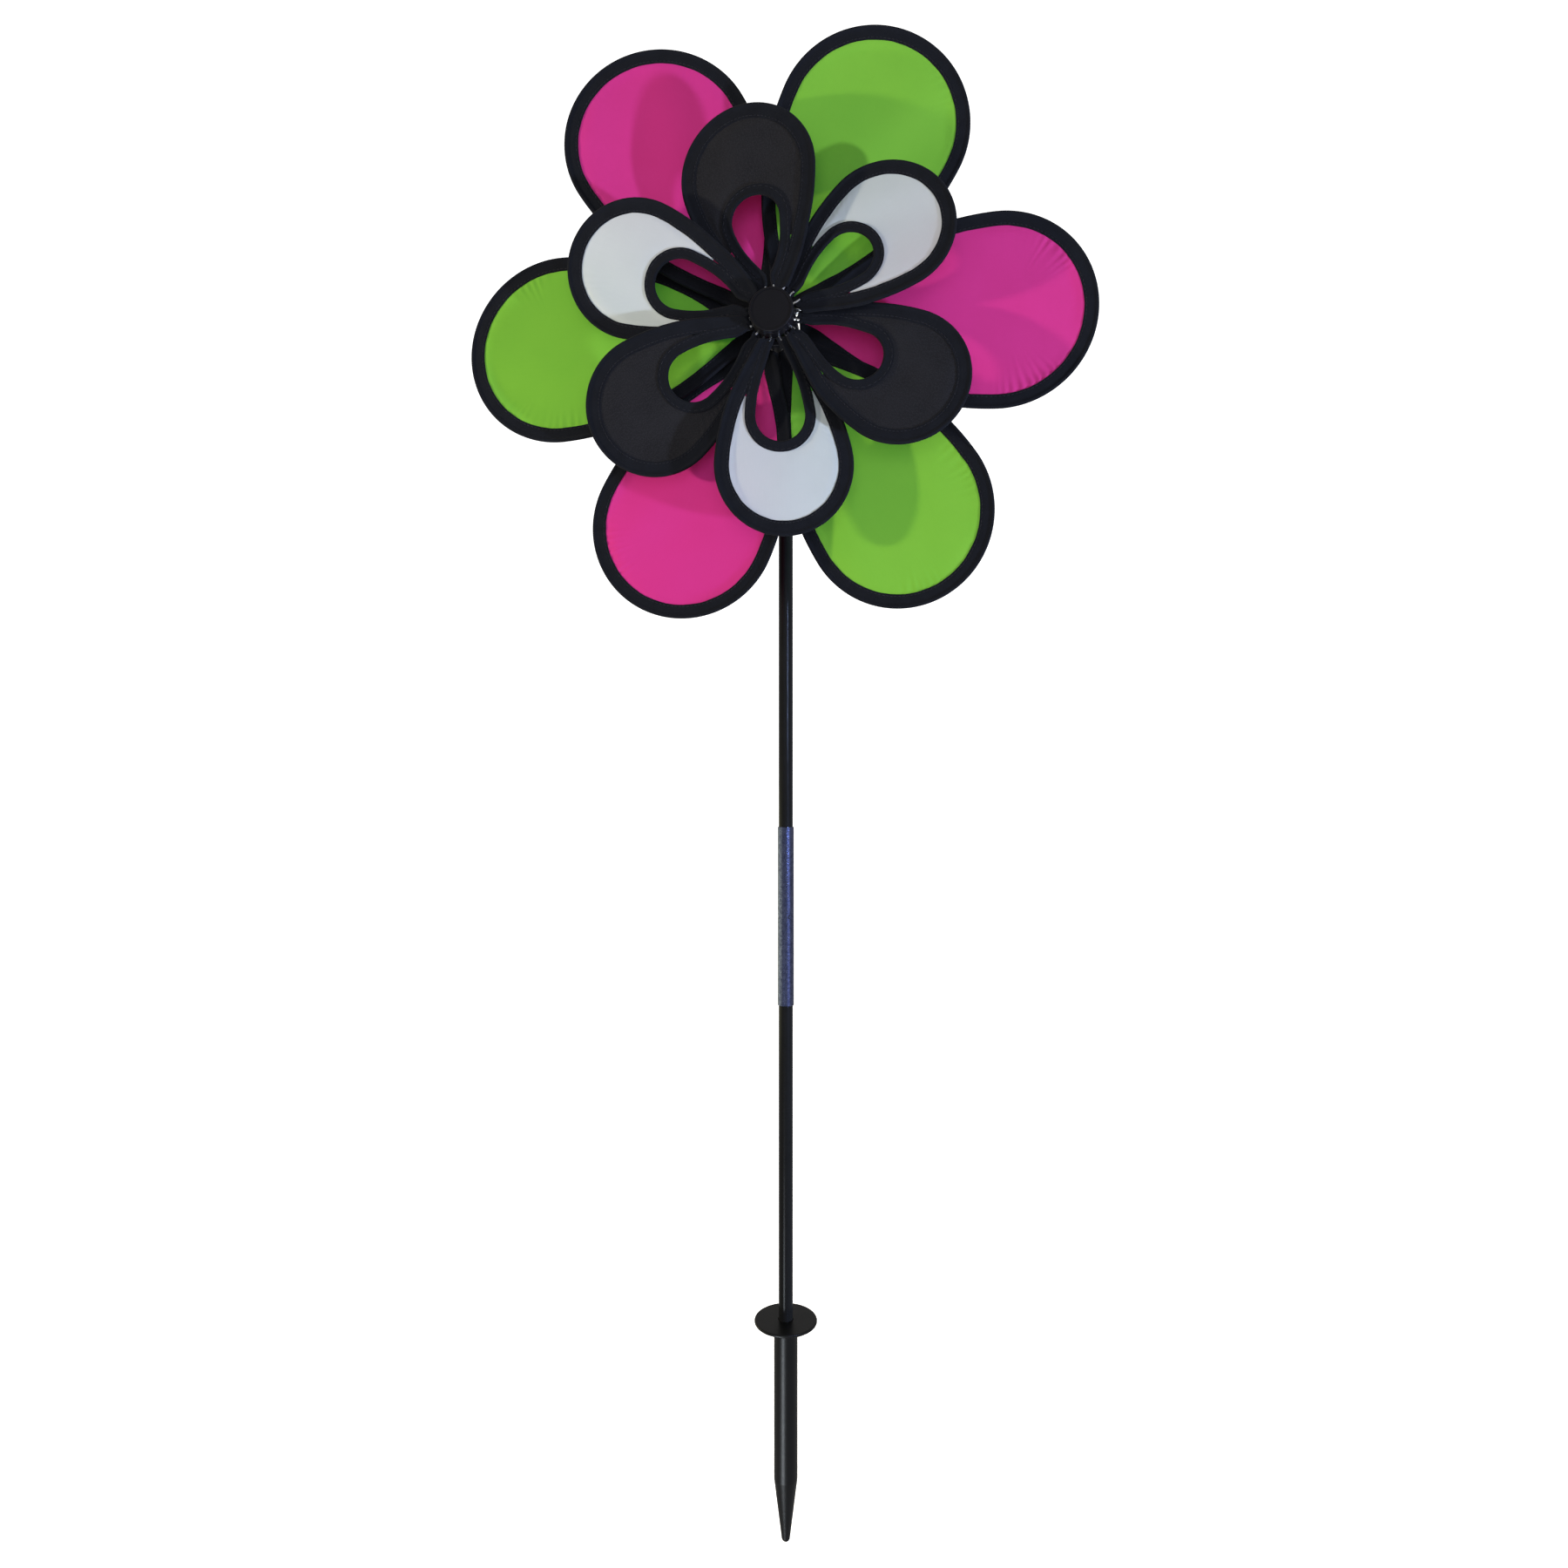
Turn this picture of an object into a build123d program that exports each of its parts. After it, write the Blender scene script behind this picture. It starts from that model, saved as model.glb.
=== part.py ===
"""Garden wind spinner: two counter-turning fabric flowers on a two-piece pole with a ground stake.

Millimetres. The origin is on the pole's axis at ground level, which is the underside of the stake's
step flange. +Z runs up the pole, and the flowers face -Y. The axle's parts are placed by their
distance in front of the pole's axis, which is -y.
"""
import os
from collections import namedtuple
from math import cos, radians, sin

from build123d import *

os.makedirs("parts", exist_ok=True)

# ---- Driving dimensions: pole and stake ---------------------------------------------------------
POLE_D = 9.5  # 3/8 inch tube
POLE_WALL = 1.2
SLIP = 0.06  # radial clearance of every sliding or turning fit
PLAY = 0.2  # end play between faces that turn against each other
EDGE = 0.4  # small broken edges

STAKE_D = 15.8
STAKE_STRAIGHT = 104.5  # from the ground down to where the point starts
STAKE_LENGTH = 147.0  # from the ground down to the tip
STAKE_TIP_R = 2.9
FLANGE_D = 42.0
FLANGE_T = 2.0
FLANGE_EDGE = 0.8
FLANGE_ROOT = 1.0
SOCKET_BOTTOM = -88.0

JOINT_Z = 272.0  # where the two pole sections meet
FERRULE_D = 10.8
FERRULE_L = 119.4
STOP_T = 2.4  # inner web that keeps the sections apart
STOP_BORE = 6.0
DIMPLES = 3
DIMPLE_R = 2.2
DIMPLE_DEPTH = 0.6
DIMPLE_ANGLE = 36.0  # the first dimple, turned from -Y towards +X

# ---- Driving dimensions: head, axle and hubs ----------------------------------------------------
HUB_Z = 644.0
AXLE_D = 4.0
REAR_ROW = 49.0  # plane of the large flower
ROW_STEP = 17.0  # from there to the plane of the small flower
HUB_D = 27.2
HUB_HALF = 6.0  # half the length of a hub's barrel
BUSH_D = 7.0
BUSH_FLANGE_D = 10.0
BUSH_FLANGE_T = 1.0
WASHER_D = 9.0
WASHER_T = 0.8
SPACER_D = 7.5
RECESS_D = 13.0  # nut pocket in the front hub
RECESS_FLOOR = 0.5  # the pocket's floor, in front of the row's plane
CAP_T = 2.6
CAP_RIM = 1.6
CAP_SKIRT = 3.0
HEAD_D = 15.0
HEAD_DROP = 34.0  # from the axle down to the head's open end
HEAD_RISE = 9.0
HEAD_DOME = 4.0
POLE_TOP_DROP = 7.0  # from the axle down to the pole's top end
BOSS_D = 12.0
BOSS_FACE = 14.0
PAD_FACE = 9.0  # rear face of the head, behind the pole's axis
BOLT_HEAD_D = 8.0
BOLT_HEAD_T = 2.6
BOLT_TIP = 0.5  # bolt length past the nut
NUT_T = 4.5
NUT_AF = 7.0

# ---- Driving dimensions: petals -----------------------------------------------------------------
PETALS = 6
WIRE_D = 1.8
WIRE_FIT = 0.05  # radial clearance of a wire's end in its socket
WIRE_GAP = 0.05  # between a wire and the tape beside it
TAPE_T = 0.8
PANEL_T = 0.3
FABRIC_START = 18.0  # the fabric starts this far from the axle
REAR_PITCH = -4.0  # degrees about a petal's centre line; positive puts its clockwise edge forward
FRONT_PITCH = 7.5
REAR_PHASE = 27.0  # clockwise angle of the first petal, seen from the front
FRONT_PHASE = -6.2

# A petal's half outline, which the other half mirrors: it leaves (x, y) at an angle to the petal's
# centre line, runs straight, bends round a shoulder arc, and closes with a tip arc on that line.
Shape = namedtuple("Shape", "x y angle straight shoulder_r turn")
REAR_SHAPE = Shape(9.60, 2.84, 37.0, 37.7, 169.0, 35.0)
FRONT_SHAPE = Shape(9.00, 4.60, 41.5, 7.3, 135.0, 32.1)
CUTOUT_SHAPE = Shape(10.30, 0.41, 21.3, 23.7, 98.0, 15.5)
REAR_TAPE_W = 8.6
FRONT_TAPE_W = 8.9
CUTOUT_TAPE_W = 6.3

FRONT_ROW = REAR_ROW + ROW_STEP
TAU = 360.0


def finish(piece, name):
    """Label a finished piece and write it."""
    piece.part.label = name
    export_step(piece.part, f"parts/{name}.step")


def axle_plane(distance):
    """Plane across the axle, with its normal pointing forward."""
    return Plane(origin=(0, -distance, HUB_Z), x_dir=(1, 0, 0), z_dir=(0, -1, 0))


def ring(plane, outer_d, inner_d, length):
    """Plain ring that runs forward from a plane across the axle, such as a washer."""
    with BuildPart() as piece:
        with BuildSketch(plane):
            Circle(outer_d / 2)
            Circle(inner_d / 2, mode=Mode.SUBTRACT)
        extrude(amount=length)
    return piece


def tube(bottom, top, outer_d, inner_d):
    """Upright tube on the pole's axis with broken outer edges."""
    with BuildPart() as piece:
        with BuildSketch(Plane.XY.offset(bottom)):
            Circle(outer_d / 2)
        extrude(amount=top - bottom)
        chamfer(piece.edges().filter_by(GeomType.CIRCLE), EDGE)
        with BuildSketch(Plane.XY.offset(bottom)):
            Circle(inner_d / 2)
        extrude(amount=top - bottom, mode=Mode.SUBTRACT)
    return piece


def petal_plane(row, turn, pitch):
    """Plane of a petal: X along its centre line, Y towards its clockwise edge."""
    t, p = radians(turn), radians(pitch)
    along = Vector(sin(t), 0, cos(t))
    across = Vector(cos(t) * cos(p), -sin(p), -sin(t) * cos(p))
    return Plane(origin=(0, -row, HUB_Z), x_dir=along, z_dir=along.cross(across))


def half_points(shape, inset):
    """Corners and arc middles of a half outline that lies inset inside the petal's edge."""
    def heading(angle):
        return Vector(cos(radians(angle)), sin(radians(angle)))

    def left(angle):
        return Vector(-sin(radians(angle)), cos(radians(angle)))

    end_angle = shape.angle - shape.turn
    start = Vector(shape.x, shape.y) - left(shape.angle) * inset
    bend = start + heading(shape.angle) * shape.straight
    shoulder_centre = bend - left(shape.angle) * (shape.shoulder_r - inset)
    shoulder_mid = shoulder_centre + left(shape.angle - shape.turn / 2) * (shape.shoulder_r - inset)
    shoulder_end = shoulder_centre + left(end_angle) * (shape.shoulder_r - inset)
    tip_r = shoulder_end.Y / cos(radians(end_angle))
    tip_centre = shoulder_end - left(end_angle) * tip_r
    tip_mid = tip_centre + left(end_angle / 2 - 45) * tip_r
    tip = tip_centre + Vector(tip_r, 0)
    if start.Y < 0:
        # the two legs would cross, so both start where they meet on the centre line
        start = start - heading(shape.angle) * (start.Y / sin(radians(shape.angle)))
        start = Vector(start.X, 0)
    points = (start, bend, shoulder_mid, shoulder_end, tip_mid, tip)
    return [(point.X, point.Y) for point in points]


def outline(shape, inset):
    """Draw the whole outline of a petal, or one inside it, from one leg round to the other."""
    start, bend, shoulder_mid, shoulder_end, tip_mid, tip = half_points(shape, inset)

    def flip(point):
        return (point[0], -point[1])

    Line(start, bend)
    ThreePointArc(bend, shoulder_mid, shoulder_end)
    ThreePointArc(shoulder_end, tip_mid, tip)
    ThreePointArc(tip, flip(tip_mid), flip(shoulder_end))
    ThreePointArc(flip(shoulder_end), flip(shoulder_mid), flip(bend))
    Line(flip(bend), flip(start))
    return start


def face(shape, inset, mode=Mode.ADD):
    """Add or subtract the area inside an outline in the sketch being drawn."""
    with BuildLine() as edge:
        start = outline(shape, inset)
        if start[1] > 0:
            Line((start[0], -start[1]), start)
    make_face(edge.edges(), mode=mode)


def hoop(plane, shape, inset):
    """Wire bent to an outline, with both ends in the hub."""
    with BuildPart() as piece:
        with BuildLine(plane) as path:
            outline(shape, inset)
        for edge in path.edges():
            with BuildSketch(Plane(origin=edge @ 0, z_dir=edge % 0)):
                Circle(WIRE_D / 2)
            sweep(path=edge)
    return piece


def socket_holes(plane, shape, inset):
    """Drill the two holes that hold a hoop's ends in the hub being built."""
    x, y = half_points(shape, inset)[0]
    leg_x, leg_y = cos(radians(shape.angle)), sin(radians(shape.angle))
    for side in (1, -1):
        foot = plane.from_local_coords(Vector(x, side * y))
        direction = plane.from_local_coords(Vector(x + leg_x, side * (y + leg_y))) - foot
        with BuildSketch(Plane(origin=foot, z_dir=direction)) as drill:
            Circle(WIRE_D / 2 + WIRE_FIT)
        extrude(drill.sketch, amount=HUB_D / 2, mode=Mode.SUBTRACT)


def fabric(plane, thickness, outer, inner=None, cutout=None, inside=None):
    """Flat piece of fabric between outlines, each given as (shape, inset)."""
    with BuildPart() as piece:
        with BuildSketch(plane):
            face(*outer)
            if inside:
                face(*inside, mode=Mode.INTERSECT)
            for hole in (inner, cutout):
                if hole:
                    face(*hole, mode=Mode.SUBTRACT)
            Circle(FABRIC_START, mode=Mode.SUBTRACT)
        extrude(amount=thickness / 2, both=True)
    return piece


# ---- Ground stake -------------------------------------------------------------------------------
with BuildPart() as ground_stake:
    with BuildSketch(Plane.XZ):
        with BuildLine():
            Polyline(
                (0, FLANGE_T),
                (FLANGE_D / 2, FLANGE_T),
                (FLANGE_D / 2, 0),
                (STAKE_D / 2, 0),
                (STAKE_D / 2, -STAKE_STRAIGHT),
                (STAKE_TIP_R, -STAKE_LENGTH + STAKE_TIP_R),
            )
            ThreePointArc(
                (STAKE_TIP_R, -STAKE_LENGTH + STAKE_TIP_R),
                (STAKE_TIP_R * sin(radians(45)), -STAKE_LENGTH + STAKE_TIP_R * (1 - cos(radians(45)))),
                (0, -STAKE_LENGTH),
            )
            Line((0, -STAKE_LENGTH), (0, FLANGE_T))
        make_face()
    revolve(axis=Axis.Z)
    flange_edges = ground_stake.edges().filter_by(GeomType.CIRCLE).filter_by(
        lambda edge: abs(edge.radius - FLANGE_D / 2) < EDGE
    )
    fillet(flange_edges, FLANGE_EDGE)
    root_edge = ground_stake.edges().filter_by(GeomType.CIRCLE).filter_by(
        lambda edge: abs(edge.radius - STAKE_D / 2) < EDGE and abs(edge.center().Z) < EDGE
    )
    fillet(root_edge, FLANGE_ROOT)
    with BuildSketch(Plane.XY.offset(SOCKET_BOTTOM)):
        Circle(POLE_D / 2 + SLIP)
    extrude(amount=FLANGE_T - SOCKET_BOTTOM, mode=Mode.SUBTRACT)
    mouth = ground_stake.faces().filter_by(GeomType.PLANE).sort_by(Axis.Z)[-1]
    chamfer(mouth.edges().sort_by(SortBy.RADIUS)[0], EDGE)
finish(ground_stake, "ground_stake")

# ---- Pole sections and the ferrule that joins them ----------------------------------------------
pole_bore = POLE_D - 2 * POLE_WALL
lower_top = JOINT_Z - STOP_T / 2 - PLAY / 2
upper_bottom = JOINT_Z + STOP_T / 2 + PLAY / 2
lower_pole = tube(SOCKET_BOTTOM + PLAY / 2, lower_top, POLE_D, pole_bore)
finish(lower_pole, "lower_pole")
upper_pole = tube(upper_bottom, HUB_Z - POLE_TOP_DROP, POLE_D, pole_bore)
finish(upper_pole, "upper_pole")

with BuildPart() as pole_ferrule:
    with BuildSketch(Plane.XY.offset(JOINT_Z)):
        Circle(FERRULE_D / 2)
    extrude(amount=FERRULE_L / 2, both=True)
    chamfer(pole_ferrule.edges().filter_by(GeomType.CIRCLE), EDGE / 2)
    for side in (1, -1):
        with BuildSketch(Plane.XY.offset(JOINT_Z + side * STOP_T / 2)):
            Circle(POLE_D / 2 + SLIP)
        extrude(amount=side * FERRULE_L, mode=Mode.SUBTRACT)
    with BuildSketch(Plane.XY.offset(JOINT_Z)):
        Circle(STOP_BORE / 2)
    extrude(amount=STOP_T, both=True, mode=Mode.SUBTRACT)
    dimple_reach = FERRULE_D / 2 + DIMPLE_R - DIMPLE_DEPTH
    for i in range(DIMPLES):
        turn = radians(DIMPLE_ANGLE + i * TAU / DIMPLES)
        with Locations((dimple_reach * sin(turn), -dimple_reach * cos(turn), JOINT_Z)):
            Sphere(DIMPLE_R, mode=Mode.SUBTRACT)
finish(pole_ferrule, "pole_ferrule")

# ---- Head fitting on the pole's top -------------------------------------------------------------
with BuildPart() as head_fitting:
    with BuildSketch(Plane.XY.offset(HUB_Z - HEAD_DROP)):
        Circle(HEAD_D / 2)
    extrude(amount=HEAD_DROP + HEAD_RISE)
    fillet(head_fitting.edges().filter_by(GeomType.CIRCLE).sort_by(Axis.Z)[-1], HEAD_DOME)
    chamfer(head_fitting.edges().filter_by(GeomType.CIRCLE).sort_by(Axis.Z)[0], EDGE)
    with BuildSketch(axle_plane(-PAD_FACE)):
        Circle(BOSS_D / 2)
    extrude(amount=PAD_FACE + BOSS_FACE)
    with BuildSketch(axle_plane(-PAD_FACE)):
        Circle(AXLE_D / 2)
    extrude(amount=PAD_FACE + BOSS_FACE, mode=Mode.SUBTRACT)
    with BuildSketch(Plane.XY.offset(HUB_Z - HEAD_DROP)):
        Circle(POLE_D / 2)
    extrude(amount=HEAD_DROP - POLE_TOP_DROP, mode=Mode.SUBTRACT)
finish(head_fitting, "head_fitting")

# ---- Axle and what sits on it, from the head forward --------------------------------------------
rear_hub_back = REAR_ROW - HUB_HALF
rear_hub_front = REAR_ROW + HUB_HALF
front_hub_back = FRONT_ROW - HUB_HALF
nut_floor = FRONT_ROW + RECESS_FLOOR
cap_back = FRONT_ROW + HUB_HALF
rear_washer_front = rear_hub_back - BUSH_FLANGE_T - PLAY
front_washer_back = nut_floor + BUSH_FLANGE_T / 2 + PLAY
nut_back = front_washer_back + WASHER_T
bolt_end = nut_back + NUT_T + BOLT_TIP

with BuildPart() as axle_bolt:
    with BuildSketch(axle_plane(-PAD_FACE - BOLT_HEAD_T)):
        Circle(BOLT_HEAD_D / 2)
    extrude(amount=BOLT_HEAD_T)
    fillet(axle_bolt.edges().filter_by(GeomType.CIRCLE).sort_by(Axis.Y)[-1], BOLT_HEAD_T / 2)
    with BuildSketch(axle_plane(-PAD_FACE - BOLT_HEAD_T)):
        Rectangle(BOLT_HEAD_D / 2, BOLT_HEAD_T / 3)
        Rectangle(BOLT_HEAD_T / 3, BOLT_HEAD_D / 2)
    extrude(amount=BOLT_HEAD_T / 2, mode=Mode.SUBTRACT)
    with BuildSketch(axle_plane(-PAD_FACE)):
        Circle(AXLE_D / 2)
    extrude(amount=PAD_FACE + bolt_end)
    chamfer(axle_bolt.edges().filter_by(GeomType.CIRCLE).sort_by(Axis.Y)[0], EDGE)
finish(axle_bolt, "axle_bolt")

axle_spacer = ring(
    axle_plane(BOSS_FACE), SPACER_D, AXLE_D, rear_washer_front - WASHER_T - BOSS_FACE
)
finish(axle_spacer, "axle_spacer")
rear_washer = ring(axle_plane(rear_washer_front - WASHER_T), WASHER_D, AXLE_D, WASHER_T)
finish(rear_washer, "rear_washer")
collar_back = rear_hub_front + BUSH_FLANGE_T / 2 + PLAY
collar_front = front_hub_back - BUSH_FLANGE_T - PLAY
middle_collar = ring(axle_plane(collar_back), WASHER_D, AXLE_D, collar_front - collar_back)
finish(middle_collar, "middle_collar")
front_washer = ring(axle_plane(front_washer_back), WASHER_D, AXLE_D, WASHER_T)
finish(front_washer, "front_washer")

with BuildPart() as lock_nut:
    with BuildSketch(axle_plane(nut_back)):
        RegularPolygon(NUT_AF / 2, 6, major_radius=False)
        Circle(AXLE_D / 2, mode=Mode.SUBTRACT)
    extrude(amount=NUT_T * 2 / 3)
    with BuildSketch(axle_plane(nut_back + NUT_T * 2 / 3)):
        Circle(NUT_AF / 2 - EDGE)
        Circle(AXLE_D / 2, mode=Mode.SUBTRACT)
    extrude(amount=NUT_T / 3)
finish(lock_nut, "lock_nut")


def bush(back, front):
    """Flanged bush: its flange lies behind a hub, and its sleeve stands just proud in front."""
    with BuildPart() as piece:
        with BuildSketch(axle_plane(back - BUSH_FLANGE_T)):
            Circle(BUSH_FLANGE_D / 2)
        extrude(amount=BUSH_FLANGE_T)
        with BuildSketch(axle_plane(back)):
            Circle(BUSH_D / 2)
        extrude(amount=front - back + BUSH_FLANGE_T / 2)
        with BuildSketch(axle_plane(back - BUSH_FLANGE_T)):
            Circle(AXLE_D / 2 + SLIP)
        extrude(amount=front - back + 2 * BUSH_FLANGE_T, mode=Mode.SUBTRACT)
    return piece


rear_bush = bush(rear_hub_back, rear_hub_front)
finish(rear_bush, "rear_bush")
front_bush = bush(front_hub_back, nut_floor)
finish(front_bush, "front_bush")

# ---- Hubs ---------------------------------------------------------------------------------------
rear_turns = [REAR_PHASE + i * TAU / PETALS for i in range(PETALS)]
front_turns = [FRONT_PHASE + i * TAU / PETALS for i in range(PETALS)]
hoop_inset = WIRE_D / 2

with BuildPart() as rear_hub:
    with BuildSketch(axle_plane(rear_hub_back)):
        Circle(HUB_D / 2)
    extrude(amount=2 * HUB_HALF)
    chamfer(rear_hub.edges().filter_by(GeomType.CIRCLE), EDGE)
    with BuildSketch(axle_plane(rear_hub_back)):
        Circle(BUSH_D / 2)
    extrude(amount=2 * HUB_HALF, mode=Mode.SUBTRACT)
    for turn in rear_turns:
        socket_holes(petal_plane(REAR_ROW, turn, REAR_PITCH), REAR_SHAPE, hoop_inset)
finish(rear_hub, "rear_hub")

with BuildPart() as front_hub:
    with BuildSketch(axle_plane(front_hub_back)):
        Circle(HUB_D / 2)
    extrude(amount=2 * HUB_HALF)
    chamfer(front_hub.edges().filter_by(GeomType.CIRCLE), EDGE)
    with BuildSketch(axle_plane(front_hub_back)):
        Circle(BUSH_D / 2)
    extrude(amount=2 * HUB_HALF, mode=Mode.SUBTRACT)
    with BuildSketch(axle_plane(nut_floor)):
        Circle(RECESS_D / 2)
    extrude(amount=HUB_HALF, mode=Mode.SUBTRACT)
    for turn in front_turns:
        plane = petal_plane(FRONT_ROW, turn, FRONT_PITCH)
        socket_holes(plane, FRONT_SHAPE, hoop_inset)
        socket_holes(plane, CUTOUT_SHAPE, -hoop_inset)
finish(front_hub, "front_hub")

with BuildPart() as hub_cap:
    with BuildSketch(axle_plane(cap_back)):
        Circle(HUB_D / 2)
    extrude(amount=CAP_T)
    front_edge = hub_cap.edges().filter_by(GeomType.CIRCLE).sort_by(Axis.Y)[0]
    fillet(front_edge, CAP_T / 3)
    with BuildSketch(axle_plane(cap_back + CAP_T)):
        Circle(HUB_D / 2 - CAP_RIM)
    extrude(amount=-EDGE, mode=Mode.SUBTRACT)
    with BuildSketch(axle_plane(cap_back)):
        Circle(RECESS_D / 2 - SLIP)
        Circle(RECESS_D / 2 - CAP_RIM, mode=Mode.SUBTRACT)
    extrude(amount=-CAP_SKIRT)
    with BuildSketch(axle_plane(cap_back)):
        Circle(RECESS_D / 2 - CAP_RIM)
    extrude(amount=CAP_T / 2, mode=Mode.SUBTRACT)
finish(hub_cap, "hub_cap")

# ---- Large flower: one hoop, one tape and one panel a petal -------------------------------------
tape_edge = WIRE_D + WIRE_GAP
for number, turn in enumerate(rear_turns, start=1):
    plane = petal_plane(REAR_ROW, turn, REAR_PITCH)
    finish(hoop(plane, REAR_SHAPE, hoop_inset), f"rear_hoop_{number}")
    tape = fabric(plane, TAPE_T, (REAR_SHAPE, tape_edge), inner=(REAR_SHAPE, REAR_TAPE_W))
    finish(tape, f"rear_tape_{number}")
    finish(fabric(plane, PANEL_T, (REAR_SHAPE, REAR_TAPE_W)), f"rear_panel_{number}")

# ---- Small flower: its panels have a cut-out with a tape and a hoop of its own ------------------
cutout_hoops = []
for number, turn in enumerate(front_turns, start=1):
    plane = petal_plane(FRONT_ROW, turn, FRONT_PITCH)
    around_cutout = (CUTOUT_SHAPE, -CUTOUT_TAPE_W)
    finish(hoop(plane, FRONT_SHAPE, hoop_inset), f"front_hoop_{number}")
    tape = fabric(
        plane,
        TAPE_T,
        (FRONT_SHAPE, tape_edge),
        inner=(FRONT_SHAPE, FRONT_TAPE_W),
        cutout=around_cutout,
    )
    finish(tape, f"front_tape_{number}")
    panel = fabric(plane, PANEL_T, (FRONT_SHAPE, FRONT_TAPE_W), cutout=around_cutout)
    finish(panel, f"front_panel_{number}")
    cutout_tape = fabric(
        plane,
        TAPE_T,
        around_cutout,
        inner=(CUTOUT_SHAPE, -tape_edge),
        inside=(FRONT_SHAPE, tape_edge),
    )
    finish(cutout_tape, f"cutout_tape_{number}")
    cutout_hoops.append(hoop(plane, CUTOUT_SHAPE, -hoop_inset).part)

with BuildPart() as cutout_hoop_set:
    add(cutout_hoops)
finish(cutout_hoop_set, "cutout_hoops")

for label, shape, inset in (
    ("large petal", REAR_SHAPE, 0),
    ("small petal", FRONT_SHAPE, 0),
    ("cut-out", CUTOUT_SHAPE, 0),
):
    points = half_points(shape, inset)
    print(label, "tip at", round(points[-1][0], 1), "widest near", round(points[3][1], 1))
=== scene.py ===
"""Garden wind spinner: fabric flowers, bindings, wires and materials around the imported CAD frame.

Petals are drawn flat in millimetres, x along the petal's centre line from the axle and y towards its
clockwise edge, and place() carries them into the row frame in metres. h is the height in front of
the petal's plane.
"""

from collections import namedtuple
from math import cos, pi, radians, sin

import bmesh
import bpy
import numpy as np
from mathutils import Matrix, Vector


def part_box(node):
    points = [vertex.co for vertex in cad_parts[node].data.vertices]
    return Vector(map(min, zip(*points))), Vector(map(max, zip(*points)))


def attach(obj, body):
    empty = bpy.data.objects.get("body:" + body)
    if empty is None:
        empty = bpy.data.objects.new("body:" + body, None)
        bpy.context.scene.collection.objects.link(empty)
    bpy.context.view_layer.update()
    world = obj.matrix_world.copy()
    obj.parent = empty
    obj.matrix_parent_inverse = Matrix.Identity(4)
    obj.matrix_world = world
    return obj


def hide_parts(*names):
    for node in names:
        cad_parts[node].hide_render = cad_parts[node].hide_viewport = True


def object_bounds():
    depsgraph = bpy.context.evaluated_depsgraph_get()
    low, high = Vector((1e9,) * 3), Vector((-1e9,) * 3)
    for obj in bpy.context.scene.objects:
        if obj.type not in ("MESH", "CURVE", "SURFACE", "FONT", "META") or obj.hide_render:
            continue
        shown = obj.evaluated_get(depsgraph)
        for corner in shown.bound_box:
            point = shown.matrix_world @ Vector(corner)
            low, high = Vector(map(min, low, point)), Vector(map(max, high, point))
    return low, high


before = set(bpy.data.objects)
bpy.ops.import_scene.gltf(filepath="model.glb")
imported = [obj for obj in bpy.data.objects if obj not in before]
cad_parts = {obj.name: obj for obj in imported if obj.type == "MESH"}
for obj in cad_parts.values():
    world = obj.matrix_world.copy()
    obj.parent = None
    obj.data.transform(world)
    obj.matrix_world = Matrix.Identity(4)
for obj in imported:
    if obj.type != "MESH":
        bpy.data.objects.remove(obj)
cad_box = [list(corner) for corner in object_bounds()]

MM = 0.001
PETALS = 6
FLAT = "flat_position"  # attribute: a fabric point's place in the flat cut, in millimetres

# ---- Petal outlines, as in the CAD source ---------------------------------------------------------
Shape = namedtuple("Shape", "x y angle straight shoulder_r turn")
REAR_SHAPE = Shape(9.60, 2.84, 37.0, 37.7, 169.0, 35.0)
FRONT_SHAPE = Shape(9.00, 4.60, 41.5, 7.3, 135.0, 32.1)
CUTOUT_SHAPE = Shape(10.30, 0.41, 21.3, 23.7, 98.0, 15.5)
REAR_WIDTH = 8.6
FRONT_WIDTH = 8.9
CUTOUT_WIDTH = 6.3
FABRIC_START = 14.9  # where a large petal's ribbon starts on its outline, as a distance from the axle
FABRIC_RAGGED = 1.3  # how much further out one large petal's ribbon may start than another's
LEG_END = 45.0  # a petal's two bindings meet only nearer the axle than this
LEAST_REAR_WIDTH = 4.2  # of a binding on the petal's legs
LEAST_FRONT_WIDTH = 4.0
UNLIMITED = 99.0  # wider than any binding
WIRE_START = 11.0  # a wire starts inside its hub
WIRE_R = 0.9
FOLD_R = 1.15  # the binding's fold round the wire
CUTOUT_LIFT = 0.22  # extra height of a cut-out's binding
GATHER = 0.16  # height of the creases in a binding near the hub
REAR_FLARE = (2.2, 46.0)  # how far the fold stands off its wire at the hub, and where that ends
FRONT_FLARE = (1.0, 30.0)
NO_FLARE = (0.0, 27.0)
STITCH_PITCH = 2.9
STITCH_INSET = 1.3  # from a binding's inner edge
STITCH_LEVEL = 0.42
CUTOUT_STITCH_LEVEL = 0.62
TUCK = 2.3  # a panel ends this far inside its outline, under the binding

# Distance between neighbouring points along an outline.
WIRE_STEP = 2.5
BINDING_STEP = 1.15
REAR_PANEL_STEP = 0.95
FRONT_PANEL_STEP = 0.9

# A cut-out's legs are drawn together: by at most this share, from where to where it grows, from
# where it fades, and how fast.
PINCH_MOST = 0.78
PINCH_RISE = (12.0, 22.0)
PINCH_END = 25.0
PINCH_FADE = 8.0

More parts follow.
